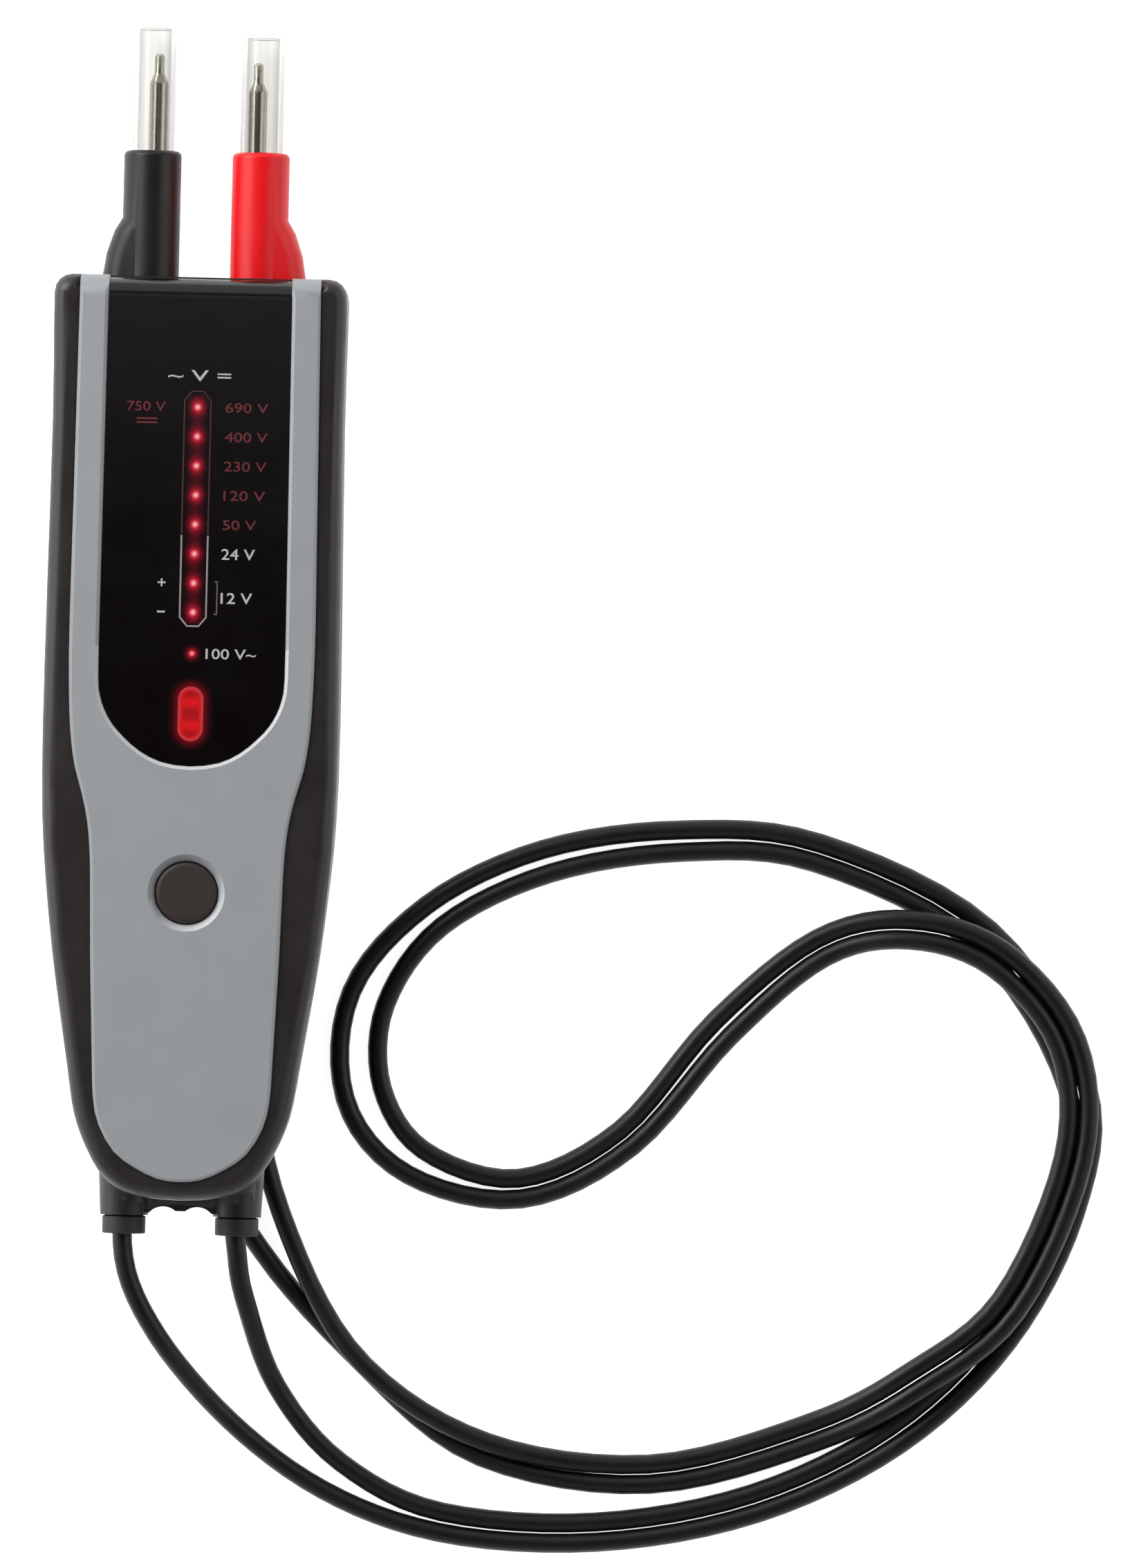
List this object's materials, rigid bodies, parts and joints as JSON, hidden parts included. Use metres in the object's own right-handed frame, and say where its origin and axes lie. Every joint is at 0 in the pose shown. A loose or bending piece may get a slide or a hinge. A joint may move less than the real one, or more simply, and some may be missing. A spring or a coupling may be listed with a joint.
{
  "type": "two-pole voltage tester",
  "caption": "Two-pole voltage tester with a tapered case, smoked light window, test button, and two leads whose sleeved probes dock in the back.",
  "frame": {"origin": "on the surface the tester lies on, under the middle of the box of case, probes and boots, the leads left out", "axes": "+Z out of the front face, +Y along the case towards the probe tips, +X across to the red probe's side"},
  "size_m": [0.2046, 0.291, 0.031],
  "materials": {
    "dark_shell": "fine matt",
    "rear_shell": "fine matt",
    "grey_cover": "fine matt",
    "smoked_lens": "polished, nearly black",
    "red_lamp_lens": "translucent red",
    "gasket_foam": "soft",
    "inner_black_plastic": "matt",
    "led_epoxy": "clear tinted",
    "board_laminate": "solder mask",
    "button_rubber": "matt",
    "plunger_plastic": "matt",
    "resistor_coating": "satin",
    "capacitor_sleeve": "satin",
    "plated_steel": "zinc plated",
    "brass_tag": "plain",
    "cell_jacket": "satin film on steel",
    "spring_contact": "nickel plated",
    "lead_jacket": "soft satin",
    "black_probe_plastic": "satin",
    "red_probe_plastic": "satin",
    "tip_metal": "turned",
    "clear_sleeve": "clear, faintly milky",
    "spring_steel": "drawn wire",
    "copper_core": "bare copper"
  },
  "bodies": {
    "case": {"front_shell": "dark_shell", "rear_case": "rear_shell", "front_cover": "grey_cover", "display_lens": "smoked_lens", "lamp_lens": "red_lamp_lens", "case_gasket": "gasket_foam", "light_mask": "inner_black_plastic", "indicator_leds": "led_epoxy", "lamp_leds": "led_epoxy", "circuit_board": "board_laminate", "button_switch": "inner_black_plastic", "series_resistors": "resistor_coating", "controller_chip": "inner_black_plastic", "capacitors": "capacitor_sleeve", "buzzer": "inner_black_plastic", "board_screws": "plated_steel", "lead_tags": "brass_tag", "battery_cells": "cell_jacket", "battery_contacts": "spring_contact", "battery_door": "rear_shell", "battery_door_screw": "plated_steel", "case_screws": "plated_steel", "left_lead_boot": "lead_jacket", "right_lead_boot": "lead_jacket", "red_probe_lead": "lead_jacket", "black_probe_lead": "lead_jacket"},
    "button": {"test_button": "button_rubber", "switch_plunger": "plunger_plastic"},
    "black_probe": {"black_probe_body": "black_probe_plastic", "black_probe_tip": "tip_metal", "black_probe_core": "copper_core", "black_probe_boot": "lead_jacket", "black_sleeve_spring": "spring_steel"},
    "black_sleeve": {"black_tip_sleeve": "clear_sleeve"},
    "red_probe": {"red_probe_body": "red_probe_plastic", "red_probe_tip": "tip_metal", "red_probe_core": "copper_core", "red_probe_boot": "lead_jacket", "red_sleeve_spring": "spring_steel"},
    "red_sleeve": {"red_tip_sleeve": "clear_sleeve"}
  },
  "joints": [
    {"name": "test_button_press", "type": "slide", "parent": "case", "child": "button", "axis": [0, 0, -1], "range_m": [0, 0.0008], "stiffness_N_per_m": 400, "springref_m": -0.002},
    {"name": "black_probe_slide", "type": "slide", "parent": "case", "child": "black_probe", "axis": [0, 1, 0], "range_m": [0, 0.024]},
    {"name": "black_sleeve_slide", "type": "slide", "parent": "black_probe", "child": "black_sleeve", "axis": [0, -1, 0], "range_m": [0, 0.019], "stiffness_N_per_m": 60, "springref_m": -0.01, "deforming": ["black_sleeve_spring"]},
    {"name": "red_probe_slide", "type": "slide", "parent": "case", "child": "red_probe", "axis": [0, 1, 0], "range_m": [0, 0.024]},
    {"name": "red_sleeve_slide", "type": "slide", "parent": "red_probe", "child": "red_sleeve", "axis": [0, -1, 0], "range_m": [0, 0.019], "stiffness_N_per_m": 60, "springref_m": -0.01, "deforming": ["red_sleeve_spring"]}
  ]
}
